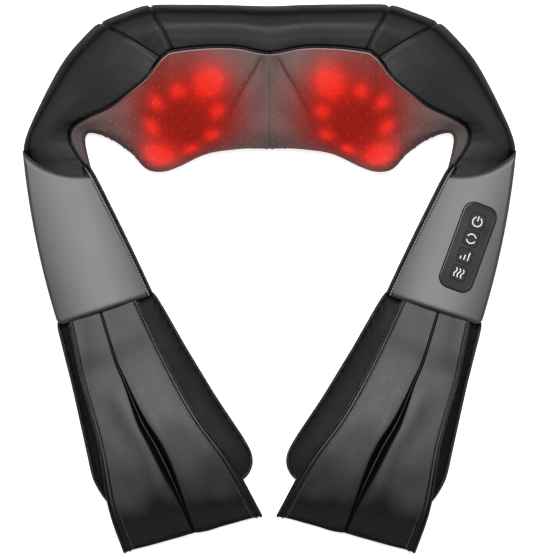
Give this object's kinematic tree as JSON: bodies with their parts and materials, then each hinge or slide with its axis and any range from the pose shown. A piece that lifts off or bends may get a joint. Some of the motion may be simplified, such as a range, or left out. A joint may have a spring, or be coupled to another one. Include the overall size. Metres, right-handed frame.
{
  "type": "shiatsu neck massager",
  "caption": "U-shaped shiatsu neck massager: padded collar with turning heated heads under mesh, hinged side casings, control panel and padded hand straps.",
  "frame": {"origin": "middle of the footprint, on the surface the massager lies on", "axes": "+X across to the casing with the control panel, +Y up to the collar's top edge, +Z out of the massage side towards the neck"},
  "size_m": [0.406, 0.452, 0.1093],
  "materials": {
    "leather_black": "soft satin grain",
    "mesh_fabric": "dotted mesh weave",
    "piping": "stitched binding",
    "casing_grey": "satin moulded",
    "casing_dark": "fine texture",
    "core_plastic": "moulded",
    "head_plastic": "translucent red knobs",
    "head_plate": "moulded",
    "panel_black": "gloss bezel",
    "button_black": "soft touch",
    "motor_steel": "drawn can",
    "steel": "ground",
    "brass": "turned",
    "nylon": "natural nylon",
    "board": "solder mask",
    "foam": "open foam"
  },
  "bodies": {
    "collar": {"core_back_shell": "core_plastic", "core_front_frame": "core_plastic", "core_screws": "steel", "motor_can": "motor_steel", "motor_end_cap": "core_plastic", "motor_bracket": "steel", "shaft_bearings": "core_plastic", "left_output_bush": "brass", "right_output_bush": "brass", "left_heat_board": "board", "right_heat_board": "board", "collar_foam": "foam", "collar_cover_centre": "leather_black", "left_wedge_cover": "leather_black", "right_wedge_cover": "leather_black", "left_lobe_cover": "leather_black", "right_lobe_cover": "leather_black", "mesh_panel": "mesh_fabric", "mesh_piping": "piping", "left_arm_neck": "leather_black", "right_arm_neck": "leather_black"},
    "right_head": {"right_worm_wheel": "nylon", "right_output_shaft": "steel", "right_head_plate": "head_plate", "right_large_knobs": "head_plastic", "right_small_knobs": "head_plastic"},
    "left_head": {"left_worm_wheel": "nylon", "left_output_shaft": "steel", "left_head_plate": "head_plate", "left_large_knobs": "head_plastic", "left_small_knobs": "head_plastic"},
    "rotor": {"motor_shaft": "steel", "left_worm": "brass", "right_worm": "brass"},
    "left_arm": {"left_casing_front": "casing_grey", "left_casing_back": "casing_dark", "left_arm_pad": "leather_black", "left_edge_binding": "piping", "left_cuff": "leather_black"},
    "right_arm": {"right_casing_front": "casing_grey", "right_casing_back": "casing_dark", "right_arm_pad": "leather_black", "right_edge_binding": "piping", "right_cuff": "leather_black", "control_bezel": "panel_black", "control_board": "board", "tact_switches": "steel", "dc_inlet": "panel_black"},
    "left_lower": {"left_lower_pad": "leather_black", "left_hand_strap": "leather_black"},
    "right_lower": {"right_lower_pad": "leather_black", "right_hand_strap": "leather_black"},
    "power_key": {"power_button": "button_black"},
    "direction_key": {"direction_button": "button_black"},
    "intensity_key": {"intensity_button": "button_black"},
    "heat_key": {"heat_button": "button_black"}
  },
  "joints": [
    {"name": "right_head_spin", "type": "hinge", "parent": "collar", "child": "right_head", "pos_m": [0.069, 0.138, 0.074], "axis": [0, -0.4226, 0.9063], "continuous": true},
    {"name": "left_head_spin", "type": "hinge", "parent": "collar", "child": "left_head", "pos_m": [-0.069, 0.138, 0.074], "axis": [0, -0.4226, 0.9063], "continuous": true},
    {"name": "rotor_spin", "type": "hinge", "parent": "collar", "child": "rotor", "pos_m": [0, 0.17243, 0.05695], "axis": [1, 0, 0], "continuous": true},
    {"name": "left_arm_flex", "type": "hinge", "parent": "collar", "child": "left_arm", "pos_m": [-0.175, 0.115, 0.028], "axis": [-0.9932, -0.1167, 0], "range_deg": [0, 35], "deforming": ["left_arm_neck"]},
    {"name": "right_arm_flex", "type": "hinge", "parent": "collar", "child": "right_arm", "pos_m": [0.175, 0.115, 0.028], "axis": [-0.9932, 0.1167, 0], "range_deg": [0, 35], "deforming": ["right_arm_neck"]},
    {"name": "left_strap_flex", "type": "hinge", "parent": "left_arm", "child": "left_lower", "pos_m": [-0.12605, -0.03165, 0.024], "axis": [-0.9511, -0.309, 0], "range_deg": [-30, 40], "deforming": ["left_cuff"]},
    {"name": "right_strap_flex", "type": "hinge", "parent": "right_arm", "child": "right_lower", "pos_m": [0.12605, -0.03165, 0.024], "axis": [-0.9511, 0.309, 0], "range_deg": [-30, 40], "deforming": ["right_cuff"]},
    {"name": "power_press", "type": "slide", "parent": "right_arm", "child": "power_key", "axis": [-0.1184, 0.0431, -0.992], "range_m": [0, 0.0008], "stiffness_N_per_m": 800, "springref_m": -0.0003},
    {"name": "direction_press", "type": "slide", "parent": "right_arm", "child": "direction_key", "axis": [-0.1184, 0.0431, -0.992], "range_m": [0, 0.0008], "stiffness_N_per_m": 800, "springref_m": -0.0003},
    {"name": "intensity_press", "type": "slide", "parent": "right_arm", "child": "intensity_key", "axis": [-0.1184, 0.0431, -0.992], "range_m": [0, 0.0008], "stiffness_N_per_m": 800, "springref_m": -0.0003},
    {"name": "heat_press", "type": "slide", "parent": "right_arm", "child": "heat_key", "axis": [-0.1184, 0.0431, -0.992], "range_m": [0, 0.0008], "stiffness_N_per_m": 800, "springref_m": -0.0003}
  ],
  "couplings": [
    {"joint": "left_head_spin", "follows": "right_head_spin", "ratio": -1},
    {"joint": "rotor_spin", "follows": "right_head_spin", "ratio": 24}
  ]
}
